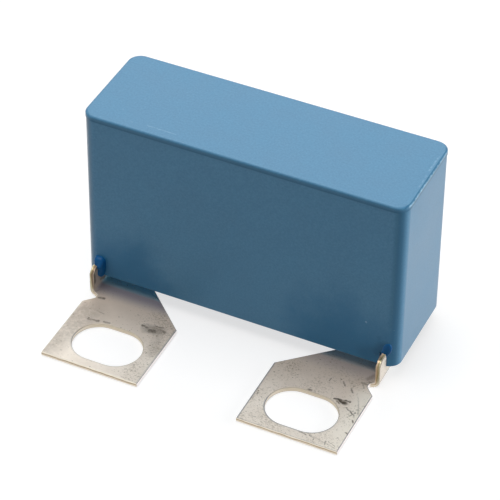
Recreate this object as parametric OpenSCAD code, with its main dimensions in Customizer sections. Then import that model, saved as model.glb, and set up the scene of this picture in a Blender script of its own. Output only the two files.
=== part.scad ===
// Film capacitor: a wound polypropylene capacitor potted in a moulded box,
// with two bent strap terminals that screw down onto a bus bar or power module.
//
// Frame: millimetres, +Z up.  X runs along the box, the box stands behind the
// screw slots at +Y, and Z = 0 is the underside of the terminal plates.  The
// origin lies midway between the centres of the two screw slots.

/* [Case] */
// Outside length of the box
case_l = 42; // [40:0.5:50]
// Outside width of the box
case_w = 14; // [12:0.5:22]
// Outside height of the box, rim to closed top
case_h = 24.4; // [20:0.2:36]
// Thickness of the side walls
wall = 1.0; // [0.8:0.1:1.2]
// Thickness of the closed top
top_wall = 1.2; // [0.8:0.1:2]
// Outside radius of the four upright corners
corner_r = 1.6; // [1.4:0.1:2.6]
// Outside radius round the edge of the closed top
top_r = 0.25; // [0.2:0.05:0.6]
// Moulding draft: how far each side leans in from rim to top
draft = 0.1; // [0:0.05:0.4]

/* [Terminals] */
// Thickness of the terminal sheet
sheet = 0.6; // [0.5:0.1:0.8]
// Inside radius of the bend between plate and web
bend_r = 0.3; // [0.2:0.1:0.6]
// Distance between the centres of the two screw slots
slot_pitch = 26; // [24:0.5:28]
// Width of a screw slot, clear of an M6 screw
slot_w = 6.5; // [5.3:0.1:6.8]
// End-to-end length of a screw slot
slot_l = 9; // [7.5:0.5:9.5]
// Metal left between a slot and the plate's inner edge
side_margin = 1.9; // [1.4:0.1:3]
// Metal left between a slot and the plate's front edge
front_margin = 1.35; // [1.2:0.05:3]
// Slot centre to the corner where the slanting edge starts
corner_y = 6.05; // [5:0.05:7]
// Angle of the slanting edge to the length of the box
cut_angle = 43; // [40:0.5:46]
// Slot centre to the front face of the box
reach = 9.75; // [9.2:0.05:12]
// How far the plate runs under the box
under_reach = 6.95; // [6:0.05:7]
// Gap between the plate's underside and the rim of the box
rim_lift = 2.1; // [1.9:0.1:3]
// How far the web stands out in front of the box
web_out = 1.9; // [1.6:0.1:2.2]
// How far the web runs back past the front face of the box
web_in = 2.6; // [2:0.1:3.2]
// Height of the web above the rim
web_rise = 2.0; // [1.9:0.1:3.2]
// Corner cut at the top front of the web
web_chamfer = 0.7; // [0.4:0.1:1.2]
// Radius of the relief cut in front of the bend
relief_r = 0.55; // [0.4:0.05:0.7]
// Depth of the relief cut from the plate's outer side
relief_depth = 1.2; // [1:0.05:1.4]

/* [Leads inside the box] */
// Gap between a lead and the end wall of the box
lead_gap = 0.4; // [0.3:0.05:0.8]
// Height of the lead where it crosses the wall
neck_h = 1.3; // [1:0.1:1.4]
// Width of the tongue that lies on the winding's end
tongue_w = 5; // [4:0.25:6]
// Top of the tongue above the rim
tongue_top = 12; // [9:0.5:14]
// Radius of the solder window in the tongue
window_r = 1.2; // [0.8:0.1:1.6]
// Radius of the solder over the window
solder_r = 1.8; // [1.7:0.1:1.9]
// Height of the solder over the tongue
solder_h = 0.2; // [0.1:0.05:0.25]

/* [Winding] */
// Clearance between the winding and the walls and top of the box
roll_gap = 0.6; // [0.5:0.1:1.2]
// Height of the winding's underside above the rim
roll_rise = 2.6; // [2.4:0.1:4]
// Thickness of the plain film wrapped round the winding
cover_t = 0.2; // [0.1:0.05:0.5]
// Thickness of the sprayed metal on each end of the winding
spray_t = 0.5; // [0.3:0.1:0.8]

/* [Potting] */
// How far the cured resin lies inside the rim
fill_drop = 0.4; // [0.2:0.1:0.6]
// Space each side of the lead in its rim notch
notch_gap = 0.35; // [0.25:0.05:0.45]
// Height of a rim notch above the top of the web that it lets out
notch_over = 1.0; // [0.8:0.1:2.4]
// How far the resin bead bulges out of a notch
bead_out = 0.5; // [0.3:0.1:0.8]
// How far the bead spreads past the sides of its notch
bead_spread = 0.15; // [0.1:0.05:0.25]

/* [Hidden] */

BOX_BLUE = "#4f88ad";
RESIN_BLUE = "#123f72";
TIN = "#d2c8b6";
ZINC = "#9a9c9c";
FILM = "#c9c8bf";
COVER = "#e4dfc8";
SOLDER = "#b4b6b6";

eps = 0.01;      // thickness of a section used to span a hull
over = 1;        // how far a cutter runs past what it cuts
arc_fn = 32;     // facets on a moulded corner
round_fn = 64;   // facets on a true round
arc_step = 18;   // step in degrees along a moulded edge
dome_steps = 6;  // straight stretches in the crown of a solder joint

rim_z = rim_lift;
top_z = rim_z + case_h;
case_y = reach + case_w / 2;
inner_wall_x = case_l / 2 - wall;
cavity_top_z = top_z - top_wall;
fill_z = rim_z + fill_drop;

// The lead's outer and inner faces; the inner one seats on the sprayed end.
lead_out_x = inner_wall_x - lead_gap;
lead_in_x = lead_out_x - sheet;
lead_mid_x = (lead_out_x + lead_in_x) / 2;
bend_out_r = bend_r + sheet;
bend_x = lead_out_x - bend_out_r;

web_front_y = reach - web_out;
web_back_y = reach + web_in;
web_top_z = rim_z + web_rise;
neck_z = web_top_z - neck_h;

plate_in_x = slot_pitch / 2 - slot_l / 2 - side_margin;
plate_front_y = -slot_w / 2 - front_margin;
plate_back_y = reach + under_reach;
relief_x = lead_out_x - relief_depth;

roll_half_l = lead_in_x - spray_t;
roll_r = case_w / 2 - wall - roll_gap;
roll_bottom_z = rim_z + roll_rise;
roll_top_z = cavity_top_z - roll_gap;

// The tongue is centred on the winding's flattened end, solder near its top.
tongue_front_y = case_y - tongue_w / 2;
tongue_back_y = case_y + tongue_w / 2;
tongue_top_z = rim_z + tongue_top;
window_z = tongue_top_z - tongue_w / 2;

notch_half_w = sheet / 2 + notch_gap;
notch_top_z = web_top_z + notch_over;
notch_back_y = reach + wall + draft + notch_gap;

// ---------------------------------------------------------------- case

// One level section of the moulded box, centred on the box's own axis.
module section(l, w, r, z) {
  translate([0, case_y, z])
    linear_extrude(eps)
      offset(r = r, $fn = arc_fn)
        square([l - 2 * r, w - 2 * r], center = true);
}

// A drafted box with rounded uprights and a rounded upper edge.  "inset" is
// measured from the outside of the box, so the cavity follows the same form.
module moulded_form(inset, bottom_z, top, edge_r) {
  l = case_l - 2 * inset;
  w = case_w - 2 * inset;
  r = corner_r - inset;
  hull() {
    section(l, w, r, bottom_z);
    for (a = [0 : arc_step : 90]) {
      lean = draft + edge_r * (1 - cos(a));
      section(l - 2 * lean, w - 2 * lean, r, top - edge_r * (1 - sin(a)) - eps);
    }
  }
}

module outside_form() {
  moulded_form(0, rim_z, top_z, top_r);
}

// The cavity runs past the rim, so that its mouth is cut clean through.
module cavity_form() {
  moulded_form(wall, rim_z - over, cavity_top_z, top_r);
}

// Round-topped profile of a rim notch, swept from back_y forwards to front_y.
// X = 0 is the middle of the lead; "spread" widens it all round the crown.
module notch_prism(bottom_z, front_y, back_y, spread = 0) {
  half = notch_half_w + spread;
  crown_z = notch_top_z - notch_half_w;
  translate([0, back_y, 0])
    rotate([90, 0, 0])
      linear_extrude(back_y - front_y) {
        translate([-half, bottom_z])
          square([2 * half, crown_z - bottom_z]);
        translate([0, crown_z])
          circle(r = half, $fn = arc_fn);
      }
}

module case() {
  color(BOX_BLUE)
    difference() {
      outside_form();
      cavity_form();
      for (side = [-1, 1])
        translate([side * lead_mid_x, 0, 0])
          notch_prism(rim_z - over, reach - over, notch_back_y);
    }
}

// ------------------------------------------------------------- winding

// Flattened-roll outline in the YZ plane, swept along X from -half to +half.
module roll_prism(r, z0, z1, x0, x1) {
  translate([x0, case_y, 0])
    rotate([90, 0, 90])
      linear_extrude(x1 - x0) {
        translate([-r, z0 + r])
          square([2 * r, z1 - z0 - 2 * r]);
        for (z = [z0 + r, z1 - r])
          translate([0, z])
            circle(r = r, $fn = round_fn);
      }
}

module winding() {
  color(FILM)
    roll_prism(roll_r - cover_t, roll_bottom_z + cover_t, roll_top_z - cover_t,
               -roll_half_l, roll_half_l);
}

module cover_film() {
  color(COVER)
    difference() {
      roll_prism(roll_r, roll_bottom_z, roll_top_z, -roll_half_l, roll_half_l);
      roll_prism(roll_r - cover_t, roll_bottom_z + cover_t, roll_top_z - cover_t,
                 -roll_half_l - over, roll_half_l + over);
    }
}

// Sprayed metal on the right end of the winding; the left one is its mirror.
module end_spray() {
  color(ZINC)
    roll_prism(roll_r, roll_bottom_z, roll_top_z, roll_half_l, lead_in_x);
}

// ----------------------------------------------------------- terminals

// Screw slot, long way along X.
module slot_profile() {
  half = (slot_l - slot_w) / 2;
  translate([-half, -slot_w / 2])
    square([2 * half, slot_w]);
  for (x = [-half, half])
    translate([x, 0])
      circle(r = slot_w / 2, $fn = round_fn);
}

// Relief cut: a round end just in front of the web, opening outwards with one
// side along the end of the bend and the other slanting forwards at 45 degrees.
module relief_profile() {
  cx = relief_x + relief_r;
  cy = web_front_y - relief_r;
  k = relief_r * cos(45);
  run = lead_out_x + over - cx + k;
  translate([cx, cy])
    circle(r = relief_r, $fn = round_fn);
  polygon([
    [cx, web_front_y],
    [cx - k, cy - k],
    [cx - k + run, cy - k - run],
    [cx - k + run, web_front_y]
  ]);
}

module plate_profile() {
  plate_l = plate_back_y - plate_front_y;
  difference() {
    translate([plate_in_x, plate_front_y])
      square([lead_out_x - plate_in_x, plate_l]);
    translate([slot_pitch / 2, 0])
      slot_profile();
    translate([plate_in_x, corner_y])
      rotate(cut_angle)
        translate([-over, 0])
          square([2 * plate_l, plate_l]);
    relief_profile();
    // metal that turned up into the bend
    translate([bend_x, web_front_y])
      square([bend_out_r + over, plate_l]);
    // set back behind the bend, in line with the relief
    translate([relief_x, web_back_y])
      square([relief_depth + over, plate_l]);
  }
}

// Web, neck and tongue, upright in the plane of the lead.
module lead_blank() {
  translate([lead_in_x, 0, 0])
    rotate([90, 0, 90])
      linear_extrude(sheet)
        polygon([
          [web_front_y, bend_out_r],
          [web_front_y, web_top_z - web_chamfer],
          [web_front_y + web_chamfer, web_top_z],
          [tongue_front_y, web_top_z],
          [tongue_front_y, tongue_top_z],
          [tongue_back_y, tongue_top_z],
          [tongue_back_y, neck_z],
          [web_back_y, neck_z],
          [web_back_y, bend_out_r]
        ]);
}

// Right terminal: flat plate, a quarter-turn bend, then the upright lead.
module terminal() {
  color(TIN) {
    linear_extrude(sheet)
      plate_profile();
    translate([bend_x, web_back_y, bend_out_r])
      rotate([90, 0, 0])
        rotate([0, 0, -90])
          rotate_extrude(angle = 90, $fn = round_fn)
            translate([bend_r, 0])
              square([sheet, web_back_y - web_front_y]);
    difference() {
      lead_blank();
      translate([lead_in_x - over, case_y, window_z])
        rotate([0, 90, 0])
          cylinder(r = window_r, h = sheet + 2 * over, $fn = round_fn);
    }
  }
}

// Low crown of solder over the tongue, from its rim to the axis, as radius and
// height above the sprayed end.
function dome_points() = [
  for (i = [0 : dome_steps])
    let (x = solder_r * (1 - i / dome_steps))
      [x, sheet + solder_h * (1 - pow(x / solder_r, 2))]
];

// Turns such a profile about the axis of the right tongue's window.
module window_turned(profile) {
  translate([lead_in_x, case_y, window_z])
    rotate([0, 90, 0])
      rotate_extrude($fn = round_fn)
        polygon(profile);
}

// Solder that fills the tongue's window down to the sprayed end and domes over
// the metal round it.
module solder_joint() {
  color(SOLDER)
    window_turned(concat([[0, 0], [window_r, 0], [window_r, sheet]], dome_points()));
}

// ------------------------------------------------------------- potting

// Bead of resin that plugs the right notch and swells out round the lead.  Its
// sections shrink along a quarter arc as they leave the front of the box.
module bead() {
  translate([lead_mid_x, 0, 0]) {
    notch_prism(rim_z, reach - bead_out / 2, notch_back_y);
    difference() {
      hull() {
        notch_prism(rim_z, reach, reach + wall / 2, bead_spread);
        for (a = [arc_step : arc_step : 90]) {
          y = reach - bead_out * sin(a);
          fall = 1 - cos(a);
          swell = bead_spread - (bead_spread + notch_half_w / 2) * fall;
          notch_prism(rim_z + bead_out * fall, y, y + eps, swell);
        }
      }
      translate([-lead_mid_x, 0, 0])
        outside_form();
    }
  }
}

module potting_resin() {
  color(RESIN_BLUE)
    difference() {
      union() {
        intersection() {
          cavity_form();
          translate([-case_l / 2, reach, fill_z])
            cube([case_l, case_w, case_h]);
        }
        for (side = [0, 1])
          mirror([side, 0, 0])
            bead();
      }
      roll_prism(roll_r, roll_bottom_z, roll_top_z, -lead_in_x, lead_in_x);
      for (side = [0, 1])
        mirror([side, 0, 0]) {
          lead_blank();
          window_turned(concat([[0, sheet / 2], [solder_r, sheet / 2]], dome_points()));
        }
    }
}

// ------------------------------------------------------------ assembly

case();
potting_resin();
winding();
cover_film();
mirror([1, 0, 0]) end_spray();  // end_spray_left
end_spray();  // end_spray_right
mirror([1, 0, 0]) terminal();  // terminal_left
terminal();  // terminal_right
mirror([1, 0, 0]) solder_joint();  // solder_joint_left
solder_joint();  // solder_joint_right
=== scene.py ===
import math

import bmesh
import bpy
from mathutils import Matrix, Vector, noise


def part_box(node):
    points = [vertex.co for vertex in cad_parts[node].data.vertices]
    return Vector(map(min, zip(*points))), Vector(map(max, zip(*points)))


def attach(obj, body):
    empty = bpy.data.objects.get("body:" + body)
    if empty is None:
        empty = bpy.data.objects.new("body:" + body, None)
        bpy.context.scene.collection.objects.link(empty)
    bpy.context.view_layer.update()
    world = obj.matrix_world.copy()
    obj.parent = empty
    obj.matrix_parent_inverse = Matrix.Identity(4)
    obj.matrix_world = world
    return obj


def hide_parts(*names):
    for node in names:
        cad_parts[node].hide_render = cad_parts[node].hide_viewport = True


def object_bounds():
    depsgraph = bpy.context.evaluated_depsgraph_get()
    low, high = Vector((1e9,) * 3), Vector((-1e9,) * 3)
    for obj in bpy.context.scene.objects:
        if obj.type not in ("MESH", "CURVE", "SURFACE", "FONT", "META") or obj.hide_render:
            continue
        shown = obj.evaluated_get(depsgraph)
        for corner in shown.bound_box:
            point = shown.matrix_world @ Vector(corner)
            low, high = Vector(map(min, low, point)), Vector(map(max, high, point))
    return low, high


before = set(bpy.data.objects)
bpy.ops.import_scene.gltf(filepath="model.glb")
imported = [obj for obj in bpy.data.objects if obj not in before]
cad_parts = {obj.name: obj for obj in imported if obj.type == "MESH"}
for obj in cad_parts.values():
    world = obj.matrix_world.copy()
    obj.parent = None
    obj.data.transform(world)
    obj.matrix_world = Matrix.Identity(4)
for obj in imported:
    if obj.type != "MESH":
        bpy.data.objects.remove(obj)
cad_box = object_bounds()


# ---------------------------------------------------------------- The moulded box
# One open box, injection moulded in flame-retardant polyester (PBT) dyed light blue
# right through.  It stands mouth down, and two notches in its rim let the leads out.
# A fine witness line rings it just under the closed end, where the mould parts.

mm = 0.001

case_low, case_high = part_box("case")
case_middle = (case_low + case_high) / 2
case_half = (case_high - case_low) / 2
case_wall = 1.0 * mm
case_top_wall = 1.2 * mm
case_draft = 0.1 * mm            # how far each side leans in from rim to closed end
case_corner_r = 1.6 * mm
case_top_edge_r = 0.25 * mm
case_rim_edge_r = 0.12 * mm
witness_drop = 0.65 * mm         # witness line below the closed end
witness_step = 0.05 * mm         # how far the closed end stands proud of the sides
witness_groove = 0.04 * mm       # height of the nick under the step
corner_steps = 14                # facets on a rounded corner
edge_steps = 6                   # facets on a rounded edge

terminal_low, terminal_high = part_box("terminal_right")
sheet = 0.6 * mm                 # thickness of the terminal sheet
lead_out_x = terminal_high.x
lead_middle_x = lead_out_x - sheet / 2
notch_gap = 0.35 * mm            # space between the lead and its notch
notch_half_w = sheet / 2 + notch_gap
notch_flash = 0.33 * mm          # moulding flash that closes the outboard side of a notch
notch_height = 3.0 * mm
crown_flash = 0.8 * mm           # how far more flash fills the notch down from its crown
notch_back_y = case_low.y + case_wall + case_draft + notch_gap


def rounded_outline(half_x, half_y, radius):
    """Points (x, y) of a rectangle with rounded corners, anticlockwise round the origin."""
    points = []
    for quarter in range(4):
        corner_x = (half_x - radius) * (1 if quarter in (0, 3) else -1)
        corner_y = (half_y - radius) * (1 if quarter in (0, 1) else -1)
        for step in range(corner_steps + 1):
            angle = math.radians(90 * (quarter + step / corner_steps))
            points.append((corner_x + radius * math.cos(angle), corner_y + radius * math.sin(angle)))
    return points


def skin_rings(bm, rings):
    """Joins closed rings of points with quads, each ring to the next, and closes both ends."""
    loops = [[bm.verts.new(point) for point in ring] for ring in rings]
    for this, following in zip(loops, loops[1:]):
        for i in range(len(this)):
            j = (i + 1) % len(this)
            bm.faces.new((this[i], this[j], following[j], following[i]))
    bm.faces.new(loops[0])
    bm.faces.new(reversed(loops[-1]))
    bmesh.ops.recalc_face_normals(bm, faces=bm.faces)


def quarter_arc(radius, steps):
    """Pairs (in, down) along a quarter round, from its flat end to its upright end."""
    angles = [math.radians(90 * step / steps) for step in range(steps + 1)]
    return [(radius * (1 - math.sin(a)), radius * (1 - math.cos(a))) for a in angles]


def new_piece(name, bm):
    """Makes an object of a finished bmesh and puts it in the scene."""
    mesh = bpy.data.meshes.new(name)
    bm.to_mesh(mesh)
    bm.free()
    piece = bpy.data.objects.new(name, mesh)
    bpy.context.scene.collection.objects.link(piece)
    return piece


def settle(piece):
    """Turns a piece's modifiers into plain mesh, so that nothing on it is left live."""
    graph = bpy.context.evaluated_depsgraph_get()
    old_mesh = piece.data
    piece.data = bpy.data.meshes.new_from_object(
        piece.evaluated_get(graph), preserve_all_data_layers=True, depsgraph=graph)
    piece.modifiers.clear()
    bpy.data.meshes.remove(old_mesh)


def smooth_faces(piece, sharp_angle=40):
    """Shades a piece smooth, but keeps edges past an angle, in degrees, sharp."""
    piece.data.polygons.foreach_set("use_smooth", [True] * len(piece.data.polygons))
    piece.data.set_sharp_from_angle(angle=math.radians(sharp_angle))
    weighted = piece.modifiers.new("weighted_normals", "WEIGHTED_NORMAL")
    weighted.keep_sharp = True
    settle(piece)


def case_lean(z):
    """How far the drafted sides lean in at a height."""
    return case_draft * (z - case_low.z) / (case_high.z - case_low.z)


def case_ring(inset, radius, z):
    """One level ring of the box, inset from the outside of its rim."""
    outline = rounded_outline(case_half.x - inset, case_half.y - inset, radius)
    return [(x, case_middle.y + y, z) for x, y in outline]


def case_rings():
    """Rings from the middle of the closed end, down the outside, and up inside the cavity."""
    witness_z = case_high.z - witness_drop
    rim_z = case_low.z
    ceiling_z = case_high.z - case_top_wall
    rings = []
    for inset, down in quarter_arc(case_top_edge_r, edge_steps):
        inset += case_draft - witness_step
        rings.append(case_ring(inset, case_corner_r, case_high.z - down))
    lean = case_lean(witness_z)
    rings.append(case_ring(lean - witness_step, case_corner_r, witness_z))
    rings.append(case_ring(lean + witness_step / 2, case_corner_r, witness_z - witness_groove / 2))
    rings.append(case_ring(lean, case_corner_r, witness_z - witness_groove))
    under_z = witness_z - 4 * witness_groove
    rings.append(case_ring(case_lean(under_z), case_corner_r, under_z))
    for inset, up in reversed(quarter_arc(case_rim_edge_r, edge_steps)):
        rings.append(case_ring(inset, case_corner_r, rim_z + up))
    inner_r = case_corner_r - case_wall
    for inset, up in quarter_arc(case_rim_edge_r, edge_steps):
        rings.append(case_ring(case_wall - inset, inner_r, rim_z + up))
    for inset, down in reversed(quarter_arc(case_top_edge_r, edge_steps)):
        rings.append(case_ring(case_wall + case_draft + inset, inner_r, ceiling_z - down))
    return rings


def notch_cutter(side):
    """The round-topped slug that cuts one rim notch through the front wall."""
    crown_z = case_low.z + notch_height - crown_flash - notch_half_w
    outline = [(-notch_half_w, case_low.z - 1 * mm)]
    for step in range(corner_steps + 1):
        angle = math.radians(180 * step / corner_steps)
        outline.append((-notch_half_w * math.cos(angle), crown_z + notch_half_w * math.sin(angle)))
    outline.append((notch_half_w, case_low.z - 1 * mm))
    outline = [(side * min(x, notch_half_w - notch_flash), z) for x, z in outline]
    front, back = case_low.y - 1 * mm, notch_back_y
    bm = bmesh.new()
    skin_rings(bm, [[(side * lead_middle_x + x, y, z) for x, z in outline] for y in (front, back)])
    return new_piece("notch_cutter", bm)


case_bm = bmesh.new()
skin_rings(case_bm, case_rings())
case_moulding = new_piece("case_moulding", case_bm)
for side in (-1, 1):
    cutter = notch_cutter(side)
    cut = case_moulding.modifiers.new("notch", "BOOLEAN")
    cut.operation = "DIFFERENCE"
    cut.solver = "EXACT"
    cut.object = cutter
    settle(case_moulding)
    bpy.data.objects.remove(cutter)
smooth_faces(case_moulding)

# Painted shade: a deeper blue laid on the case's edges and corners, where it looks darker.
corner_shade_at = 38             # degrees round a corner from the long side
corner_shade_half = 32
corner_shade_peak = 1.35         # over 1, which makes the middle of the shade even
lid_shade_least = 0.25           # round the closed end, growing towards the witness line
end_shade = 0.9                  # along the closed end's right-hand edge
end_shade_drop = 0.2             # how far down it goes, of the way to the witness line


def painted_edge_shade(point):
    """How much painted shade a point gets: 1 at the witness line and round the corners."""
    down = (case_high.z - point.z) / witness_drop
    if down < 0.001:
        return 0.0
    if down < end_shade_drop and point.x > case_half.x - 2 * case_top_edge_r:
        return end_shade
    if down < 1 + 2 * witness_groove / witness_drop:
        return min(1.0, lid_shade_least + (1 - lid_shade_least) * down ** 2)
    lean = case_lean(point.z)
    out_x = abs(point.x) - (case_half.x - lean - case_corner_r)
    out_y = abs(point.y - case_middle.y) - (case_half.y - lean - case_corner_r)
    if min(out_x, out_y) <= 0.001 * mm:
        return 0.0
    angle = math.degrees(math.atan2(out_x, out_y))
    shade = corner_shade_peak * (1 - abs(angle - corner_shade_at) / corner_shade_half)
    return max(0.0, min(1.0, shade))


# Each point of the case keeps its share of the painted shade.
edge_shade_mark = case_moulding.data.attributes.new("painted_edge_shade", "FLOAT", "POINT")
for vertex in case_moulding.data.vertices:
    edge_shade_mark.data[vertex.index].value = painted_edge_shade(vertex.co)


def srgb(hex_colour):
    """A six-digit sRGB colour as the linear colour, with alpha, that a socket takes."""
    channels = [int(hex_colour[i:i + 2], 16) / 255 for i in (1, 3, 5)]
    linear = [c / 12.92 if c <= 0.04045 else ((c + 0.055) / 1.055) ** 2.4 for c in channels]
    return (*linear, 1.0)


def live(node):
    """The first output that a node gives in its present settings."""
    return next(socket for socket in node.outputs if socket.enabled)


def add_node(tree, kind, inputs=(), **settings):
    """Adds a node with its settings.  A kind that names no family, such as "Math", is a shader node.

    Inputs come by name, or in the node's order.  Each takes a value, or a socket or node to link.
    """
    node = tree.nodes.new(kind if "Node" in kind else "ShaderNode" + kind)
    for name, value in settings.items():
        setattr(node, name, value)
    for name, value in inputs.items() if isinstance(inputs, dict) else enumerate(inputs):
        socket = next(s for i, s in enumerate(node.inputs) if name in (i, s.identifier, s.name))
        if isinstance(value, bpy.types.Node):
            value = live(value)
        if isinstance(value, bpy.types.NodeSocket):
            tree.links.new(value, socket)
        else:
            socket.default_value = value
    return node


fading = {"To Min": 1.0, "To Max": 0.0}    # for a MapRange that falls from 1 to 0


def lay_over(tree, under, over, *masks):
    """Lays one colour over another where all the masks hold.  A colour can be a hex string."""
    share = masks[0]
    for mask in masks[1:]:
        share = add_node(tree, "Math", (share, mask), operation="MULTIPLY")
    under, over = (srgb(colour) if isinstance(colour, str) else colour for colour in (under, over))
    return add_node(tree, "Mix", {
        "Factor_Float": share, "A_Color": under, "B_Color": over}, data_type="RGBA")


def new_material(name, **shader_inputs):
    """A material of one Principled shader, returned with its tree and its shader."""
    material = bpy.data.materials.new(name)
    material.use_nodes = True
    shader = material.node_tree.nodes["Principled BSDF"]
    for socket, value in shader_inputs.items():
        shader.inputs[socket.replace("_", " ")].default_value = value
    return material, material.node_tree, shader


def dress(tree, shader, **looks):
    """Links nodes to the shader's sockets, whose names are given with _ for each space."""
    for socket, node in looks.items():
        tree.links.new(live(node), shader.inputs[socket.replace("_", " ")])


def faced_way(tree):
    """Which way the surface faces, as sockets X, Y and Z."""
    surface = add_node(tree, "NewGeometry")
    return add_node(tree, "SeparateXYZ", (surface.outputs["Normal"],)).outputs


stroke_core = 0.35               # the share of a stroke's width that has its full strength


def add_stroke_group():
    """A node group that masks a ragged stroke between two points, 1 along its middle."""
    tree = bpy.data.node_groups.new("worn_stroke", "ShaderNodeTree")
    for name, kind in (("Place", "NodeSocketVector"), ("From", "NodeSocketVector"),
                       ("To", "NodeSocketVector"), ("Width", "NodeSocketFloat")):
        tree.interface.new_socket(name, in_out="INPUT", socket_type=kind)
    tree.interface.new_socket("Mask", in_out="OUTPUT", socket_type="NodeSocketFloat")
    place, start, end, width = tree.nodes.new("NodeGroupInput").outputs[:4]
    along = add_node(tree, "VectorMath", (place, start), operation="SUBTRACT")
    span = add_node(tree, "VectorMath", (end, start), operation="SUBTRACT")
    reached = add_node(tree, "VectorMath", (along, span), operation="DOT_PRODUCT")
    whole = add_node(tree, "VectorMath", (span, span), operation="DOT_PRODUCT")
    share = add_node(tree, "Math", (reached, whole), operation="DIVIDE", use_clamp=True)
    foot = add_node(tree, "VectorMath", {"Vector": span, "Scale": share}, operation="SCALE")
    off = add_node(tree, "VectorMath", (along, foot), operation="SUBTRACT")
    reach = add_node(tree, "VectorMath", (off,), operation="LENGTH")
    half = add_node(tree, "Math", (width, 0.5), operation="MULTIPLY")
    core = add_node(tree, "Math", (half, stroke_core), operation="MULTIPLY")
    mask = add_node(tree, "MapRange", {"Value": reach, "From Min": core, "From Max": half, **fading})
    handed = tree.nodes.new("NodeGroupOutput")
    tree.links.new(mask.outputs["Result"], handed.inputs["Mask"])
    return tree


worn_stroke = add_stroke_group()


def add_strokes(tree, place, strokes):
    """Masks a list of strokes (from, to, width, strength), in mm, and returns the strongest."""
    strongest = None
    for start, end, width, strength in strokes:
        stroke = tree.nodes.new("ShaderNodeGroup")
        stroke.node_tree = worn_stroke
        tree.links.new(place, stroke.inputs["Place"])
        stroke.inputs["From"].default_value = Vector(start) * mm
        stroke.inputs["To"].default_value = Vector(end) * mm
        stroke.inputs["Width"].default_value = width * mm
        shown = add_node(tree, "Math", (stroke, strength), operation="MULTIPLY")
        if strongest is not None:
            shown = add_node(tree, "Math", (strongest, shown), operation="MAXIMUM")
        strongest = shown
    return strongest


def fray(tree, place, ragged, reach):
    """Shifts places by a noise, half a reach at most, so that marks made there are ragged."""
    shift = add_node(tree, "VectorMath", (ragged.outputs["Color"], (0.5, 0.5, 0.5)), operation="SUBTRACT")
    shift = add_node(tree, "VectorMath", {"Vector": shift, "Scale": reach}, operation="SCALE")
    return live(add_node(tree, "VectorMath", (place, shift), operation="ADD"))


# Injection-moulded PBT with a spark-eroded grain: an even satin blue, a little cloudy
# where the pigment has swirled, that greys where it is seen at a slant.  Painted shade
# deepens the blue round its edges and corners, handling has left a few pale rubs, and a
# painted highlight runs along the closed end's right-hand edge.
moulded_pbt, tree, shader = new_material(
    "moulded_pbt_light_blue", IOR=1.5, Specular_IOR_Level=0.27, Sheen_Weight=1.0, Sheen_Roughness=0.32,
    Coat_Weight=0.1, Coat_Roughness=0.3)
place = add_node(tree, "TexCoord").outputs["Object"]
cloud_size = 5 * mm
grain_size = 0.25 * mm           # the real grain, about 0.05 mm, is too fine to show
grain_depth = 0.012 * mm
pigment = add_node(tree, "TexNoise", {
    "Vector": place, "Scale": 1 / cloud_size, "Detail": 3.0, "Roughness": 0.6})
grain = add_node(tree, "TexNoise", {"Vector": place, "Scale": 1 / grain_size})
mottle = add_node(tree, "Math", (pigment, 0.35, grain), operation="MULTIPLY_ADD")
mottled = add_node(tree, "MapRange", {"Value": mottle, "From Min": 0.4, "From Max": 0.95})
tint = lay_over(tree, "#4580a6", "#528fb4", mottled)
# Painted shade: the deeper blue on the edges and corners.
edge_shade_attribute = add_node(tree, "Attribute", attribute_name="painted_edge_shade")
deepened = lay_over(tree, tint, "#22668a", edge_shade_attribute.outputs["Fac"])

# Painted shade deepens the blue over the lower front corners.
low_shade_end_x = 20.5 * mm
low_shade_drop = 1.5 * mm            # how far below the rim the middle of each painted shade lies
low_shade_spread = 1.35
low_shade_all = None
for lead_side, low_shade_length, low_shade_height in ((-1, 9.5 * mm, 8.0 * mm), (1, 12.0 * mm, 9.5 * mm)):
    low_shade_middle = Vector((lead_side * (low_shade_end_x - low_shade_length / 2), case_low.y, case_low.z - low_shade_drop))
    near = add_node(tree, "Mapping", {
        "Vector": place, "Location": low_shade_middle,
        "Scale": (low_shade_spread * low_shade_length / 2, 6 * mm, low_shade_height)}, vector_type="TEXTURE")
    away = add_node(tree, "VectorMath", (near,), operation="LENGTH")
    uneven = add_node(tree, "Math", (away, pigment), operation="ADD")
    low_shade_patch = add_node(tree, "MapRange", {
        "Value": uneven, "From Min": 1.0, "From Max": 1.9, **fading},
        interpolation_type="SMOOTHSTEP")
    if low_shade_all is not None:
        low_shade_patch = add_node(tree, "Math", (low_shade_patch, low_shade_all), operation="MAXIMUM")
    low_shade_all = low_shade_patch
facing = faced_way(tree)
on_front = add_node(tree, "MapRange", {
    "Value": facing["Y"], "From Min": -1.0, "From Max": -0.6, "To Min": 0.8, "To Max": 0.0})
low_front_shade = add_node(tree, "Math", (low_shade_all, on_front), operation="MULTIPLY")
# Painted shade: the deeper blue over the lower front corners.
deepened = lay_over(tree, deepened, "#0c6b9a", low_front_shade)
dust_share = add_node(tree, "MapRange", {"Value": low_front_shade, "To Min": 0.12, "To Max": 0.6})

ragged_size = 0.5 * mm
ragged_reach = 0.2 * mm
ragged = add_node(tree, "TexNoise", {"Vector": place, "Scale": 1 / ragged_size, "Detail": 3.0})
frayed = fray(tree, place, ragged, ragged_reach)
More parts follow.
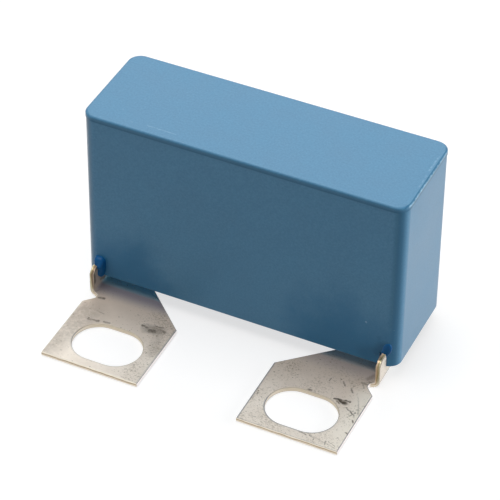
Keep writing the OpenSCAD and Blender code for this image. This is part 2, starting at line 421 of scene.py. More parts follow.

# Beside the right-hand lead the wall is a darker blue: partly resin dragged across it,
# which dyed it, and partly painted shade inboard of the web.
smear_and_shade_marks = (
    ((18.5, 9.75, 3.9), (19.2, 9.75, 4.9), 2.6, 1.0),
    ((16.9, 9.75, 3.2), (18.5, 9.75, 3.9), 3.2, 0.55),
    ((18.75, 9.75, 5.3), (18.5, 9.75, 6.3), 0.7, 0.35))
smear_and_shade = add_strokes(tree, frayed, smear_and_shade_marks)
on_wall = add_node(tree, "MapRange", {
    "Value": facing["Y"], "From Min": -0.95, "From Max": -0.6, **fading})
# Smear and painted shade together, on the front wall only.
deepened = lay_over(tree, deepened, "#085d86", smear_and_shade, on_wall)
lid = case_high.z / mm
# Pale rubs from handling, and a painted highlight along the closed end's right-hand edge.
rubs_and_highlight_marks = (
    ((-12.7, 11.2, lid), (-8.9, 11.15, lid), 0.22, 0.38),
    ((-16.8, 12.8, lid), (-16.6, 12.6, lid), 0.2, 0.25),
    ((-14.9, 11.1, lid), (-14.6, 11.0, lid), 0.2, 0.3),
    ((20.45, 20.8, lid), (20.45, 17.9, lid), 0.3, 0.42),
    ((20.5, 16.8, lid), (20.55, 14.4, lid), 0.28, 0.25),
    # These two marks are the painted highlight along the closed end's right-hand edge.
    ((20.94, 10.9, lid - 0.2), (20.94, 15.2, lid - 0.2), 0.34, 1.0),
    ((20.94, 15.2, lid - 0.2), (20.94, 22.4, lid - 0.2), 0.34, 0.7),
    ((16.75, 9.75, 8.15), (16.8, 9.75, 8.05), 0.3, 0.8))
rubs_and_highlights = add_strokes(tree, frayed, rubs_and_highlight_marks)
broken = add_node(tree, "MapRange", {"Value": ragged, "From Min": 0.35, "From Max": 0.6})
scuffed_and_highlit = lay_over(tree, deepened, "#8fbad6", rubs_and_highlights, broken)

# Specks of dust, with more of them where the painted shade lies on the lower front corners.
dust_cell = 0.42 * mm            # they lie about this far apart
dust_r = 0.09 * mm
dust = add_node(tree, "TexVoronoi", {"Vector": place, "Scale": 1 / dust_cell})
dust_spot = add_node(tree, "MapRange", {
    "Value": dust, "From Min": dust_r / dust_cell * 0.4, "From Max": dust_r / dust_cell, **fading})
dust_pick = add_node(tree, "MapRange", {
    "Value": dust.outputs["Color"], "From Min": 0.3, "From Max": 0.75, "To Max": dust_share})
finished = lay_over(tree, scuffed_and_highlit, "#86b2ba", dust_spot, dust_pick)
satin = add_node(tree, "MapRange", {
    "Value": pigment, "From Min": 0.3, "From Max": 0.7, "To Min": 0.36, "To Max": 0.44})
texture = add_node(tree, "Bump", {"Height": grain, "Strength": 0.5, "Distance": grain_depth})
dress(tree, shader, Base_Color=finished, Roughness=satin, Normal=texture)

case_moulding.data.materials.clear()
case_moulding.data.materials.append(moulded_pbt)
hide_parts("case")
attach(case_moulding, "root")


def paint_node(node, material):
    """Gives a CAD node another material."""
    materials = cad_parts[node].data.materials
    for i in range(len(materials)):
        materials[i] = material


# ---------------------------------------------------------------------- The winding
# Two webs of polypropylene film, metallised with a breath of aluminium and zinc, wound
# up together and pressed flat.  It is the capacitor proper, and the resin hides it.

turn_pitch = 0.3 * mm            # real turns are 0.01 mm apart, too fine to show
metallised_film, tree, shader = new_material(
    "metallised_polypropylene_film", Metallic=0.6, Roughness=0.28)
place = add_node(tree, "TexCoord").outputs["Object"]
edges = add_node(tree, "Mapping", {"Vector": place, "Scale": (0.04, 1.0, 1.0)})
layers = add_node(tree, "TexNoise", {"Vector": edges, "Scale": 1 / turn_pitch, "Detail": 3.0})
shine = lay_over(tree, "#b4b3ac", "#dcdbd4", layers)
dress(tree, shader, Base_Color=shine)
paint_node("winding", metallised_film)


# ------------------------------------------------------------------- The cover film
# A few turns of plain, clear polypropylene wrapped round the winding and heat-sealed.

clear_wrap, tree, shader = new_material("plain_polypropylene_wrap", Roughness=0.25, IOR=1.49)
place = add_node(tree, "TexCoord").outputs["Object"]
wrinkle_size = 3 * mm
wrinkles = add_node(tree, "TexNoise", {
    "Vector": place, "Scale": 1 / wrinkle_size, "Distortion": 0.6})
milky = lay_over(tree, "#ddd8c2", "#eae6d6", wrinkles)
puckered = add_node(tree, "Bump", {"Height": wrinkles, "Strength": 0.4, "Distance": 0.05 * mm})
dress(tree, shader, Base_Color=milky, Normal=puckered)
paint_node("cover_film", clear_wrap)


# ------------------------------------------------------------- The sprayed ends
# Zinc, melted in an arc and blown on to both ends of the winding, where it keys to the
# edges of the film.  It sets as a grey, sandy crust that the leads solder to.

sprayed_zinc, tree, shader = new_material("arc_sprayed_zinc", Metallic=0.9, Roughness=0.6)
place = add_node(tree, "TexCoord").outputs["Object"]
drop_size = 0.25 * mm
droplets = add_node(tree, "TexVoronoi", {"Vector": place, "Scale": 1 / drop_size})
crust = lay_over(tree, "#a9abab", "#7d7f80", droplets)
sandy = add_node(tree, "Bump", {
    "Height": droplets, "Strength": 0.8, "Distance": 0.06 * mm}, invert=True)
dress(tree, shader, Base_Color=crust, Normal=sandy)
for side_name in ("left", "right"):
    paint_node("end_spray_" + side_name, sprayed_zinc)


# ------------------------------------------------------------- The strap terminals
# Two mirror-image straps punched from 0.6 mm brass sheet, tinned, and folded up at a
# right angle.  The flat plate screws down through its slot, and the upright web runs
# through the rim notch to lie soldered against the end of the winding inside.

bend_r = 0.3 * mm
bend_out_r = bend_r + sheet
bend_x = lead_out_x - bend_out_r
web_front_y = case_low.y - 1.9 * mm
edge_round = 0.09 * mm           # rolled-over arris that the punch leaves
arris_angle = 40                 # degrees, the least that a corner is rolled over at
fold_margin = 0.2 * mm           # the strap starts to fold this far in front of the web
steep, slight = 0.7, 0.3         # how far a cut face's normal lies along an axis, at least
cusp_half_x = 0.27 * mm          # half the size of the sliver between relief and web, too
cusp_half_y = 0.13 * mm          # thin to be rolled over
weld_gap = 0.001 * mm            # points this close together are one


def sheet_depth(point):
    """Where a point lies through the sheet: 0 on the underside, 1 on the top."""
    x, y, z = abs(point.x), point.y, point.z
    if y < web_front_y - fold_margin or x <= bend_x:
        return z / sheet
    if z >= bend_out_r:
        return (lead_out_x - x) / sheet
    return (bend_out_r - math.hypot(x - bend_x, bend_out_r - z)) / sheet


def is_sheared(face):
    """True for a face that the punch cut, which runs across the sheet's thickness."""
    middle, normal = face.calc_center_median(), face.normal
    folded = abs(middle.x) > bend_x and middle.y > web_front_y
    if abs(normal.y) > slight:
        return True
    if folded:
        return middle.z > bend_out_r and abs(normal.z) > steep
    return abs(normal.x) > steep


def make_terminal(side_name):
    """A terminal from its CAD solid, with rolled arrises and its cut edges marked."""
    bm = bmesh.new()
    bm.from_mesh(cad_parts["terminal_" + side_name].data)
    bmesh.ops.remove_doubles(bm, verts=bm.verts, dist=weld_gap)
    bmesh.ops.dissolve_limit(bm, angle_limit=math.radians(0.5), verts=bm.verts, edges=bm.edges)
    depth = bm.verts.layers.float.new("through_sheet")
    for vertex in bm.verts:
        vertex[depth] = sheet_depth(vertex.co)
    for face in bm.faces:
        face.material_index = 1 if is_sheared(face) else 0
    weight = bm.edges.layers.float.new("bevel_weight_edge")
    for edge in bm.edges:
        middle = (edge.verts[0].co + edge.verts[1].co) / 2
        in_cusp = abs(abs(middle.x) - bend_x) < cusp_half_x and abs(middle.y - web_front_y) < cusp_half_y
        cut_sides = sum(face.material_index for face in edge.link_faces)
        is_arris = cut_sides == 1 and edge.calc_face_angle(0) > math.radians(arris_angle)
        edge[weight] = float(is_arris and not in_cusp)
    piece = new_piece("tinned_terminal_" + side_name, bm)
    for material in (tin_plate, cut_brass, arris_light_and_shade):
        piece.data.materials.append(material)
    arris = piece.modifiers.new("rolled_arris", "BEVEL")
    arris.width = edge_round
    arris.segments = 3
    arris.limit_method = "WEIGHT"
    arris.use_clamp_overlap = False
    arris.material = 2
    settle(piece)
    smooth_faces(piece)
    return piece


# Matte tin plate on rolled brass: a warm, broken grey-white that hardly mirrors, peppered
# with dull specks, and smudged and scratched where it has been handled and screwed down;
# the inner faces of the webs carry painted shade.
tin_plate, tree, shader = new_material("matte_tin_plate", Metallic=0.3, Roughness=0.55)
place = add_node(tree, "TexCoord").outputs["Object"]
blotch_size = 2.5 * mm
fine_size = 0.4 * mm
blotches = add_node(tree, "TexNoise", {
    "Vector": place, "Scale": 1 / blotch_size, "Detail": 5.0, "Roughness": 0.65})
blotch_spread = add_node(tree, "MapRange", {"Value": blotches, "From Min": 0.3, "From Max": 0.7})
tin_tone = lay_over(tree, "#dcd2c5", "#eae1d5", blotch_spread)

across_x, across_y, across_z = add_node(tree, "SeparateXYZ", (place,)).outputs
# The plates grow browner towards the case.  The outer face of each web is left out and stays pale, a
# painted reflection.
browner_near_case = add_node(tree, "MapRange", {
    "Value": across_y, "From Min": -1 * mm, "From Max": 7 * mm, "To Max": 0.68})
outward = add_node(tree, "Math", (across_x,), operation="ABSOLUTE")
inner_side = add_node(tree, "MapRange", {
    "Value": outward, "From Min": lead_middle_x, "From Max": lead_middle_x + 0.15 * mm, **fading})
tin_tone = lay_over(tree, tin_tone, "#c8b4a2", browner_near_case, inner_side)
# Painted reflection of the blue case and resin, and painted light, on the tin in the shade under the rim:
# purple-grey in front of the rim and pale blue under it.
under_rim = add_node(tree, "MapRange", {
    "Value": across_y, "From Min": case_low.y - 2.6 * mm, "From Max": case_low.y - 0.3 * mm,
    "To Max": 0.85}, interpolation_type="SMOOTHSTEP")
left_strap = add_node(tree, "MapRange", {
    "Value": across_x, "From Min": -1 * mm, "From Max": 1 * mm, "To Min": 1.0, "To Max": 0.45})
under_rim = add_node(tree, "Math", (under_rim, left_strap), operation="MULTIPLY")
deep_in = add_node(tree, "MapRange", {
    "Value": across_y, "From Min": case_low.y - 0.1 * mm, "From Max": case_low.y + 0.9 * mm})
rim_reflection_tone = lay_over(tree, "#7d7a88", "#86dcf4", deep_in)
below_web = add_node(tree, "MapRange", {
    "Value": across_z, "From Min": sheet, "From Max": sheet + 0.5 * mm, **fading})
upper_side = add_node(tree, "MapRange", {
    "Value": across_z, "From Min": sheet / 2, "From Max": sheet * 0.9})
below_web = add_node(tree, "Math", (below_web, upper_side), operation="MULTIPLY")
tin_tone = lay_over(tree, tin_tone, rim_reflection_tone, under_rim, below_web)

# Painted light brightens the right-hand corner of the right-hand plate.
lit_corner_x = add_node(tree, "MapRange", {
    "Value": across_x, "From Min": 16.6 * mm, "From Max": 18.8 * mm, "To Max": 0.85})
lit_corner_y = add_node(tree, "MapRange", {
    "Value": across_y, "From Min": 5.6 * mm, "From Max": 7.2 * mm, **fading})
tin_tone = lay_over(tree, tin_tone, "#ebe4d7", lit_corner_x, lit_corner_y)

smudge_reach = 0.45 * mm
ragged = add_node(tree, "TexNoise", {
    "Vector": place, "Scale": 1 / ragged_size, "Detail": 4.0, "Roughness": 0.7})
frayed = fray(tree, place, ragged, smudge_reach)

# The specks come in drifts, and the right-hand strap has more of them.
drift_size = 4 * mm
drift = add_node(tree, "TexNoise", {"Vector": place, "Scale": 1 / drift_size})
sided = add_node(tree, "MapRange", {
    "Value": across_x, "From Min": -15 * mm, "From Max": -8 * mm, "To Min": -0.28, "To Max": 0.08})
crowding = add_node(tree, "Math", (drift, sided), operation="ADD")
speckled = tin_tone
for speck_cell, speck_r, speck_share, speck_colour in (
        (0.52 * mm, 0.09 * mm, 0.9, "#665a48"), (0.25 * mm, 0.06 * mm, 0.95, "#8c7e6a")):
    drawn_out = add_node(tree, "Mapping", {"Vector": frayed, "Scale": (0.75, 1.4, 1.0)})
    specks = add_node(tree, "TexVoronoi", {"Vector": drawn_out, "Scale": 1 / speck_cell})
    speck_reach = add_node(tree, "MapRange", {
        "Value": ragged, "From Min": 0.35, "From Max": 0.65,
        "To Min": 0.6 * speck_r / speck_cell, "To Max": 1.5 * speck_r / speck_cell})
    speck_spot = add_node(tree, "MapRange", {
        "Value": specks, "From Min": speck_r / speck_cell * 0.3, "From Max": speck_reach, **fading})
    lot = add_node(tree, "Math", (specks.outputs["Color"], speck_share), operation="MULTIPLY")
    speck_pick = add_node(tree, "Math", (crowding, lot), operation="GREATER_THAN")
    speckled = lay_over(tree, speckled, speck_colour, speck_spot, speck_pick)

# Between the specks the tin is pitted with finer, wandering flecks.
fleck_size = 0.22 * mm
flecks = add_node(tree, "TexNoise", {
    "Vector": drawn_out, "Scale": 1 / fleck_size, "Detail": 4.0, "Roughness": 0.7})
flecked = add_node(tree, "Math", (crowding, 0.45, flecks), operation="MULTIPLY_ADD")
fleck_mask = add_node(tree, "MapRange", {
    "Value": flecked, "From Min": 0.81, "From Max": 0.89, "To Max": 0.47})
speckled = lay_over(tree, speckled, "#84765f", fleck_mask)

# A grey line runs along the inner edge of each plate, and round the near side of the
# screw slot.
slot_x = 13 * mm
slot_r = 3.25 * mm
slot_half_run = 1.25 * mm        # from the slot's middle to the centre of each round end
outwards = add_node(tree, "VectorMath", (place,), operation="ABSOLUTE")
within = add_node(tree, "VectorMath", (outwards, (slot_x + slot_half_run, 0, 1)), operation="MINIMUM")
slot_spine = add_node(tree, "VectorMath", (within, (slot_x - slot_half_run, 0, 0)), operation="MAXIMUM")
from_slot = add_node(tree, "VectorMath", (outwards, slot_spine), operation="DISTANCE")
rim_line = add_node(tree, "MapRange", {
    "Value": from_slot, "From Min": slot_r + edge_round, "From Max": slot_r + 0.24 * mm,
    "To Min": 0.8, "To Max": 0.0})
near_side = add_node(tree, "MapRange", {
    "Value": across_y, "From Min": -1.5 * mm, "From Max": 0.5 * mm, **fading})
rim_line = add_node(tree, "Math", (rim_line, near_side), operation="MULTIPLY")
inner_line = add_node(tree, "MapRange", {
    "Value": outward, "From Min": terminal_low.x + edge_round, "From Max": terminal_low.x + 0.26 * mm,
    **fading})
edge_line = add_node(tree, "Math", (rim_line, inner_line), operation="MAXIMUM")
right_strap = add_node(tree, "MapRange", {
    "Value": across_x, "From Min": -1 * mm, "From Max": 1 * mm, "To Min": 0.35, "To Max": 0.85})
speckled = lay_over(tree, speckled, "#70767c", edge_line, right_strap)

up = sheet / mm
# Marks on top of the plates: from x, y, to x, y, width and strength.
plate_marks = (
    (-9.9, 4.75, -8.5, 4.9, 2.1, 0.5),
    (-9.5, 4.55, -9.05, 4.65, 1.25, 0.85),
    (-10.75, 5.0, -10.0, 4.9, 0.55, 0.8),
    (-9.1, 5.5, -8.3, 5.65, 0.4, 0.75),
    (-8.3, 5.2, -7.7, 5.0, 0.58, 0.7),
    (-8.0, 3.6, -7.3, 1.0, 1.8, 0.2),
    (-17.3, 3.15, -16.0, 3.35, 0.56, 0.75),
    (-15.3, 3.5, -14.6, 3.6, 0.45, 0.6),
    (-13.0, 3.05, -12.2, 2.95, 0.26, 0.5),
    (-17.95, 7.2, -17.35, 7.35, 0.6, 0.8),
    (-17.7, 4.65, -16.9, 4.95, 0.34, 0.45),
    (-16.9, 4.95, -16.0, 4.8, 0.34, 0.45),
    (15.75, 3.45, 17.65, 3.75, 0.4, 1.0),
    (16.55, 3.4, 17.2, 3.2, 0.8, 1.0),
    (16.1, 3.2, 16.6, 2.9, 0.28, 0.7),
    (17.6, 2.6, 18.4, 2.15, 0.22, 0.75),
    (18.4, 2.15, 19.0, 1.7, 0.26, 0.85),
    (18.5, 1.45, 18.95, 2.25, 0.24, 0.75),
    (19.15, 0.95, 19.4, 0.65, 0.3, 0.8),
    (18.14, 4.9, 19.27, 2.5, 0.2, 0.35),
    (19.0, 2.9, 19.3, 2.2, 0.25, 0.5),
    (19.2, -1.3, 19.8, -1.4, 0.3, 0.7),
    (17.7, -3.6, 17.8, -4.1, 0.26, 0.7),
    (13.9, 5.95, 13.95, 6.5, 0.26, 0.6),
    (15.55, 6.5, 16.0, 6.0, 0.28, 0.7),
    (16.8, 5.85, 17.3, 5.3, 0.28, 0.65),
    (12.4, 3.5, 12.6, 3.5, 0.5, 0.7),
    (8.0, -3.5, 8.7, -3.45, 0.2, 0.4),
    (15.3, -3.3, 19.1, -4.2, 0.2, 0.3),
    (17.9, 7.35, 19.0, 7.3, 0.5, 0.6),
    (14.2, -3.5, 15.3, -3.6, 0.22, 0.75),
    (15.6, -3.5, 16.3, -3.8, 0.2, 0.7),
    (18.0, -3.5, 19.0, -3.9, 0.18, 0.55),
    (7.1, -4.5, 7.9, -4.6, 0.24, 0.6),
    (7.1, 0.1, 7.1, 0.5, 0.22, 0.6),
    (18.3, 7.8, 18.9, 7.7, 0.3, 0.6),
    (17.6, 7.4, 18.2, 6.6, 0.24, 0.5),
    (18.0, 8.3, 18.6, 9.3, 0.9, 0.35),
    # This broad mark only darkens the far left of the left-hand plate.
    (-20.5, -3.5, -18.3, 3.5, 7.5, 0.42))
# Painted shade and darker painted reflections on the inner faces of the webs.
web_shade_marks = (
    ((-19.0, 7.9, 3.7), (-19.0, 8.5, 3.9), 0.9, 0.7),
    ((-19.0, 7.95, 3.4), (-19.0, 8.15, 2.0), 0.8, 0.7),
    ((-19.0, 9.7, 1.4), (-19.0, 10.6, 1.0), 0.6, 0.6),
    ((-19.05, 8.0, 0.5), (-18.6, 8.6, 0.45), 0.35, 0.5),
    ((19.3, 7.95, 3.5), (19.3, 8.6, 4.1), 0.6, 0.85),
    ((19.3, 8.6, 4.1), (19.3, 9.6, 4.1), 0.25, 0.45))
smudge_marks = [((x, y, up), (to_x, to_y, up), width, strength)
                for x, y, to_x, to_y, width, strength in plate_marks]
smudges_and_shade = add_strokes(tree, frayed, (*smudge_marks, *web_shade_marks))
patchy = add_node(tree, "MapRange", {"Value": ragged, "From Min": 0.3, "From Max": 0.55, "To Min": 0.5})
handled_and_shaded = lay_over(tree, speckled, "#453c30", smudges_and_shade, patchy)
rolled = add_node(tree, "TexNoise", {"Vector": place, "Scale": 1 / fine_size, "Detail": 3.0})
matt = add_node(tree, "Bump", {"Height": rolled, "Strength": 0.4, "Distance": 0.01 * mm})
dress(tree, shader, Base_Color=handled_and_shaded, Normal=matt)

# The punched edge: bright metal burnished by the punch over part of its depth, and torn
# below that, so a dark line runs along it between two pale bands.  Up the web it has
# tarnished to tan, and in the slot the screws have dulled it.  Cut faces turned to the
# right carry a painted highlight, and the flat edge's lowest band is painted shade.
cut_brass, tree, shader = new_material("punched_tinned_edge", Metallic=1.0, Roughness=0.38)
through = add_node(tree, "Attribute", attribute_name="through_sheet")
place = add_node(tree, "TexCoord").outputs["Object"]
across = add_node(tree, "SeparateXYZ", (place,)).outputs
wander_size = 1.5 * mm
wander = add_node(tree, "TexNoise", {"Vector": place, "Scale": 1 / wander_size})
wavy = add_node(tree, "MapRange", {
    "Value": wander, "From Min": 0.3, "From Max": 0.7, "To Min": -0.1, "To Max": 0.1})
torn_line = add_node(tree, "Math", (through.outputs["Fac"], wavy), operation="ADD")


slot_edge = 0.2 * mm             # how much of the metal round it counts as the slot's rim


def mask_slot(tree, across):
    """Masks the wall of the screw slot and its rim, from a point's sockets X, Y and Z."""
    off_x = add_node(tree, "Math", (across["X"],), operation="ABSOLUTE")
    off_x = add_node(tree, "Math", (off_x, slot_x), operation="SUBTRACT")
    off_x = add_node(tree, "Math", (off_x,), operation="ABSOLUTE")
    off_y = add_node(tree, "Math", (across["Y"],), operation="ABSOLUTE")
    near_x = add_node(tree, "Math", (off_x, slot_half_run + slot_r + slot_edge), operation="LESS_THAN")
    near_y = add_node(tree, "Math", (off_y, slot_r + slot_edge), operation="LESS_THAN")
    return add_node(tree, "Math", (near_x, near_y), operation="MULTIPLY")


def add_bands(stops):
    """Colour bands across the cut edge, from the underside of the sheet to its top."""
    bands = add_node(tree, "ValToRGB", {"Fac": torn_line})
    ramp = bands.color_ramp
    while len(ramp.elements) < len(stops):
        ramp.elements.new(0.5)
    for stop, (position, colour) in zip(ramp.elements, stops):
        stop.position = position
        stop.color = srgb(colour)
    return bands


# The lowest band, darker, is painted shade along the foot of the edge.
flat_bands = add_bands((
    (0.0, "#a8967c"), (0.14, "#ddd1be"), (0.4, "#e2d8c6"),
    (0.52, "#94806a"), (0.66, "#b8a68a"), (0.84, "#f1e9dc")))
web_bands = add_bands((
    (0.0, "#bdb7a4"), (0.22, "#a8a084"), (0.40, "#857850"), (0.58, "#b09a7e"), (1.0, "#c4ac98")))
up_web = add_node(tree, "MapRange", {
    "Value": across["Z"], "From Min": sheet / 2, "From Max": bend_out_r + sheet / 2})
banded = lay_over(tree, flat_bands, web_bands, up_web)
left_web = add_node(tree, "MapRange", {
    "Value": across["X"], "From Min": -1 * mm, "From Max": 1 * mm, "To Min": 0.8, "To Max": 0.0})
inner_half = add_node(tree, "MapRange", {"Value": torn_line, "From Min": 0.3, "From Max": 0.55})
banded = lay_over(tree, banded, "#5d4e40", left_web, inner_half, up_web)
facing = faced_way(tree)
# Painted highlight on cut faces turned to the right.
right_facing_highlight = add_node(tree, "MapRange", {
    "Value": facing["X"], "From Min": 0.6, "From Max": 0.9, "To Max": 0.85})
banded = lay_over(tree, banded, "#f7f1f1", right_facing_highlight)
slot_dulled = 0.8                # how much the screws have worn the slot's wall
in_slot = mask_slot(tree, across)
banded = lay_over(tree, banded, "#c8bca8", in_slot, slot_dulled)
dress(tree, shader, Base_Color=banded)

# The arris between plate and cut edge, painted light and shade by the way it faces: a
# painted highlight where it faces the front, and painted shade, dull grey, where it faces
# aside or to the right; the right-hand strap gets more of that shade.  Up the web and
# round the far side of the slot it is soiled.
arris_light_and_shade, tree, shader = new_material("tin_arris_light_and_shade", Roughness=0.5, Specular_IOR_Level=0.15)
place = add_node(tree, "TexCoord").outputs["Object"]
across = add_node(tree, "SeparateXYZ", (place,)).outputs
facing = faced_way(tree)
# Painted shade by the way each arris faces: none where it faces the front.
side_on = add_node(tree, "MapRange", {"Value": facing["Y"], "From Min": -0.55, "From Max": -0.3})
strap_shade = add_node(tree, "MapRange", {
    "Value": across["X"], "From Min": -1 * mm, "From Max": 1 * mm, "To Min": 0.25, "To Max": 0.8})
towards_right = add_node(tree, "MapRange", {
    "Value": facing["X"], "From Min": 0.2, "From Max": 0.4, "To Max": 0.8})
# How much painted shade an arris gets.
dulled = add_node(tree, "Math", (strap_shade, towards_right), operation="MAXIMUM")
dulled = add_node(tree, "Math", (dulled, side_on), operation="MULTIPLY")
arris_tone = lay_over(tree, "#ece4d4", "#636874", dulled)
up_web = add_node(tree, "MapRange", {
    "Value": across["Z"], "From Min": sheet, "From Max": bend_out_r + sheet, "To Max": 0.75})
arris_tone = lay_over(tree, arris_tone, "#9a8c78", up_web)
far_rim = add_node(tree, "MapRange", {"Value": across["Y"], "From Max": 1 * mm, "To Max": 0.85})
arris_tone = lay_over(tree, arris_tone, "#b6aa98", far_rim, mask_slot(tree, across))
bared = add_node(tree, "MapRange", {"Value": dulled, "To Min": 0.6, "To Max": 0.0})
dress(tree, shader, Base_Color=arris_tone, Metallic=bared)

for side_name in ("left", "right"):
    terminal = make_terminal(side_name)
    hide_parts("terminal_" + side_name)
    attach(terminal, "root")


# Tin solder run into the window of each lead: bright when it set, since dulled to satin,
# with a faint ripple where it froze.
tin_solder, tree, shader = new_material("tin_solder", Metallic=1.0, Roughness=0.3)
place = add_node(tree, "TexCoord").outputs["Object"]
ripple_size = 0.6 * mm
ripple = add_node(tree, "TexNoise", {
    "Vector": place, "Scale": 1 / ripple_size, "Distortion": 1.0})
dulled = lay_over(tree, "#a9abac", "#cdcfce", ripple)
frozen = add_node(tree, "Bump", {"Height": ripple, "Strength": 0.5, "Distance": 0.04 * mm})
dress(tree, shader, Base_Color=dulled, Normal=frozen)
for side_name in ("left", "right"):
    paint_node("solder_joint_" + side_name, tin_solder)


# --------------------------------------------------------------- The potting resin
# Epoxy poured in round the winding up to just inside the rim.  It is dyed a deep blue,
# sets glossy, creeps up the walls, and swells out of each rim notch in a bead.

fill_z = case_low.z + 0.4 * mm   # the resin's level inside the rim
creep_height = 0.3 * mm          # how far the resin creeps along the walls towards the rim
creep_width = 0.6 * mm
bead_seat = 0.2 * mm             # how deep a bead's back lies in the wall
bead_rings = 12
bead_spokes = 64
dome_power = 2.4                 # the higher, the flatter a bead's top
lump_size = 0.7 * mm
lump_share = 0.25                # of a bead's bulge

fill_bm = bmesh.new()
fill_bm.from_mesh(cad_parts["potting_resin"].data)
bmesh.ops.remove_doubles(fill_bm, verts=fill_bm.verts, dist=weld_gap)
sliced = bmesh.ops.bisect_plane(
    fill_bm, geom=fill_bm.verts[:] + fill_bm.edges[:] + fill_bm.faces[:], dist=0.0001 * mm,
    plane_co=(0, case_low.y + bead_seat, 0), plane_no=(0, -1, 0), clear_outer=True)
cut_edges = [item for item in sliced["geom_cut"] if isinstance(item, bmesh.types.BMEdge)]
bmesh.ops.triangle_fill(fill_bm, edges=cut_edges, use_beauty=True, use_dissolve=False)
bmesh.ops.recalc_face_normals(fill_bm, faces=fill_bm.faces)
potting_fill = new_piece("potting_epoxy_fill", fill_bm)
smooth_faces(potting_fill)

# Each bead's outline on the front wall as (x outwards, z), in mm, given round the lead.
bead_outlines = {
    "left": ((18.25, 3.8), (18.3, 4.6), (18.6, 5.0), (19.2, 5.05), (19.65, 4.85), (19.72, 4.0),
             (19.65, 3.1), (19.4, 2.4), (19.0, 1.95), (18.6, 2.05), (18.35, 2.8)),
    "right": ((18.75, 2.4), (18.8, 3.4), (18.95, 4.3), (19.1, 5.0), (19.35, 5.5), (19.7, 5.75),
              (20.05, 5.6), (20.2, 5.1), (20.1, 4.5), (19.85, 4.0), (19.6, 3.5), (19.4, 2.6),
              (19.05, 2.15))}
bead_bulge = {"left": 0.95 * mm, "right": 0.13 * mm}


def smooth_loop(corners, count):
    """Evenly numbered points of a smooth closed curve through a few corners."""
    points = []
    for i in range(count):
        place_on_loop = i / count * len(corners)
        k, t = int(place_on_loop), place_on_loop % 1
        a, b, c, d = (Vector(corners[(k + j) % len(corners)]) for j in (-1, 0, 1, 2))
        points.append(0.5 * (2 * b + (c - a) * t + (2 * a - 5 * b + 4 * c - d) * t ** 2
                             + (3 * b - a - 3 * c + d) * t ** 3))
    return points


def make_bead(side_name):
    """A bead of set resin: a domed drop on the wall, over its outline."""
    side = -1 if side_name == "left" else 1
    outline = [Vector((side * x, z)) * mm for x, z in smooth_loop(bead_outlines[side_name], bead_spokes)]
    middle = sum(outline, Vector((0, 0))) / len(outline)
    rings = [[(x, case_low.y + bead_seat, z) for x, z in outline]]
    for step in range(bead_rings):
        share = 1 - step / bead_rings
        bulge = bead_bulge[side_name] * (1 - share ** dome_power) ** 0.5
        ring = [middle + (point - middle) * share for point in outline]
        rings.append([
            (x, case_low.y - bulge * (1 + lump_share * noise.noise(Vector((x, z, side)) / lump_size)), z)
            for x, z in ring])
    bm = bmesh.new()
    skin_rings(bm, rings)
    piece = new_piece("resin_bead_" + side_name, bm)
    smooth_faces(piece, 60)
    return piece


# Set epoxy, deep blue and glossy: it drinks light, and is swirled with a paler blue.
potting_epoxy, tree, shader = new_material(
    "potting_epoxy_deep_blue", Roughness=0.3, IOR=1.55, Specular_IOR_Level=0.14)
place = add_node(tree, "TexCoord").outputs["Object"]
swirl_size = 1.2 * mm
swirl = add_node(tree, "TexNoise", {"Vector": place, "Scale": 1 / swirl_size, "Detail": 3.0})
depth_tint = lay_over(tree, "#044c84", "#0868a4", swirl)
orange_peel = add_node(tree, "Bump", {"Height": swirl, "Strength": 0.4, "Distance": 0.05 * mm})
dress(tree, shader, Base_Color=depth_tint, Normal=orange_peel)


def creep_tree():
    """Geometry Nodes that run a hollow fillet of resin round a closed line on the walls."""
    tree = bpy.data.node_groups.new("resin_creep", "GeometryNodeTree")
    for name, kind in (("Wall line", "NodeSocketGeometry"), ("Width", "NodeSocketFloat"),
                       ("Height", "NodeSocketFloat"), ("Resin", "NodeSocketMaterial")):
        tree.interface.new_socket(name, in_out="INPUT", socket_type=kind)
    tree.interface.new_socket("Fillet", in_out="OUTPUT", socket_type="NodeSocketGeometry")
    given = tree.nodes.new("NodeGroupInput")
    line = add_node(tree, "GeometryNodeMeshToCurve", {"Mesh": given.outputs["Wall line"]})
    level = add_node(tree, "GeometryNodeSetCurveNormal", {"Curve": line}, mode="Z_UP")
    hollow = add_node(tree, "GeometryNodeCurvePrimitiveQuadrilateral", {
        "Point 1": (0, -1, 0), "Point 2": (0.26, -0.26, 0), "Point 3": (1, 0, 0),
        "Point 4": (-0.15, 0.15, 0)}, mode="POINTS")
    size = add_node(tree, "CombineXYZ", {
        "X": given.outputs["Width"], "Y": given.outputs["Height"], "Z": 1.0})
    sized = add_node(tree, "GeometryNodeTransform", {"Geometry": hollow, "Scale": size})
    swept = add_node(tree, "GeometryNodeCurveToMesh", {"Curve": level, "Profile Curve": sized})
    plain = add_node(tree, "GeometryNodeRealizeInstances", {"Geometry": swept})
    painted = add_node(tree, "GeometryNodeSetMaterial", {
        "Geometry": plain, "Material": given.outputs["Resin"]})
    handed = tree.nodes.new("NodeGroupOutput")
    tree.links.new(painted.outputs["Geometry"], handed.inputs["Fillet"])
    return tree


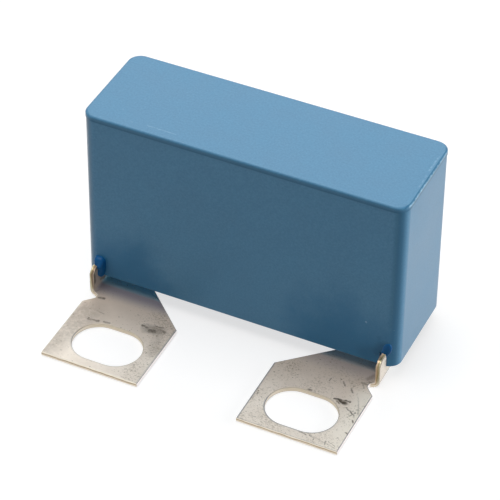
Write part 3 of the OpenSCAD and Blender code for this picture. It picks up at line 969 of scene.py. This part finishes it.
wall_bm = bmesh.new()
wall_ring = [wall_bm.verts.new(point) for point in case_ring(
    case_wall + case_lean(fill_z), case_corner_r - case_wall, fill_z)]
for this, following in zip(wall_ring, wall_ring[1:] + wall_ring[:1]):
    wall_bm.edges.new((this, following))
resin_creep = new_piece("resin_creep", wall_bm)
creep = resin_creep.modifiers.new("creep", "NODES")
creep.node_group = creep_tree()
creep_sizes = {"Width": creep_width, "Height": creep_height, "Resin": potting_epoxy}
for item in creep.node_group.interface.items_tree:
    if item.name in creep_sizes:
        creep[item.identifier] = creep_sizes[item.name]
settle(resin_creep)
creep_bm = bmesh.new()
creep_bm.from_mesh(resin_creep.data)
bmesh.ops.recalc_face_normals(creep_bm, faces=creep_bm.faces)
creep_bm.to_mesh(resin_creep.data)
creep_bm.free()
smooth_faces(resin_creep, 50)

resin_pieces = [potting_fill, resin_creep, make_bead("left"), make_bead("right")]
for piece in resin_pieces:
    piece.data.materials.clear()
    piece.data.materials.append(potting_epoxy)
    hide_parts("potting_resin")
    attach(piece, "root")


# ------------------------------------------------------------------ Floor and light
# A plain pale floor just under the plates, and soft daylight from above and behind.

bpy.context.scene.view_settings.view_transform = "Standard"

floor_gap = 0.02 * mm
floor_half = 1500 * mm
floor_bm = bmesh.new()
bmesh.ops.create_grid(floor_bm, x_segments=1, y_segments=1, size=floor_half)
bmesh.ops.translate(floor_bm, verts=floor_bm.verts, vec=(0, 0, cad_box[0].z - floor_gap))
floor = new_piece("studio_floor", floor_bm)


def seen_rays(tree):
    """1 for a ray that shows a surface to the eye: straight, mirrored or through glass."""
    rays = add_node(tree, "LightPath")
    seen = add_node(
        tree, "Math", (rays.outputs["Is Camera Ray"], rays.outputs["Is Glossy Ray"]), operation="ADD")
    return add_node(
        tree, "Math", (seen, rays.outputs["Is Transmission Ray"]), operation="ADD", use_clamp=True)


floor_paper, tree, shader = new_material(
    "floor_paper", Base_Color=srgb("#a8a8a8"), Emission_Color=srgb("#ffffff"), Roughness=0.9,
    Specular_IOR_Level=0.2)
paper_lift = 0.68                # white that the seen floor has over what the lamps give
lift = add_node(tree, "Math", (seen_rays(tree), paper_lift), operation="MULTIPLY")
dress(tree, shader, Emission_Strength=lift)
floor.data.materials.append(floor_paper)

world = bpy.data.worlds.new("studio")
world.use_nodes = True
bpy.context.scene.world = world
tree = world.node_tree
sky_strength = 0.12
level = add_node(tree, "MapRange", {"Value": seen_rays(tree), "To Min": sky_strength})
tree.nodes["Background"].inputs["Color"].default_value = srgb("#ffffff")
tree.links.new(level.outputs["Result"], tree.nodes["Background"].inputs["Strength"])


def add_softbox(name, direction, distance, size, power):
    """A square area lamp that faces the object from a direction."""
    lamp = bpy.data.lights.new(name, "AREA")
    lamp.shape = "SQUARE"
    lamp.size = size
    lamp.energy = power
    softbox = bpy.data.objects.new(name, lamp)
    toward = Vector(direction).normalized()
    softbox.location = (cad_box[0] + cad_box[1]) / 2 + toward * distance
    softbox.rotation_euler = toward.to_track_quat("Z", "Y").to_euler()
    bpy.context.scene.collection.objects.link(softbox)


add_softbox("overhead_light", (-0.15, -0.02, 1.0), 500 * mm, 420 * mm, 1.8)
add_softbox("back_light", (-0.35, 0.85, 0.75), 600 * mm, 400 * mm, 0.95)
add_softbox("right_light", (1.0, 0.35, 0.08), 500 * mm, 300 * mm, 2.6)
add_softbox("left_light", (-1.0, -0.45, 0.2), 500 * mm, 300 * mm, 0.26)
add_softbox("front_light", (-0.45, -1.0, 0.15), 600 * mm, 500 * mm, 0.14)


# ------------------------------------------------------------------------- Camera
# A long lens that looks down on the front and the right-hand end.

view_heading = 25.02             # degrees, from square to the front towards the right-hand end
view_elevation = 40.25
view_roll = 0.63
view_distance = 290.9 * mm
view_angle = 11.79
view_centre = (cad_box[0] + cad_box[1]) / 2 + Vector((0.66, 1.94, -1.25)) * mm

heading, elevation = math.radians(view_heading), math.radians(view_elevation)
toward_camera = Vector((
    math.sin(heading) * math.cos(elevation),
    -math.cos(heading) * math.cos(elevation),
    math.sin(elevation)))
lens = bpy.data.cameras.new("camera")
lens.sensor_width = 36
lens.angle = math.radians(view_angle)
lens.clip_start = 10 * mm
lens.clip_end = 10
camera = bpy.data.objects.new("camera", lens)
turn = toward_camera.to_track_quat("Z", "Y").to_matrix()
turn = turn @ Matrix.Rotation(math.radians(view_roll), 3, "Z")
camera.matrix_world = Matrix.Translation(view_centre + toward_camera * view_distance) @ turn.to_4x4()
bpy.context.scene.collection.objects.link(camera)
bpy.context.scene.camera = camera
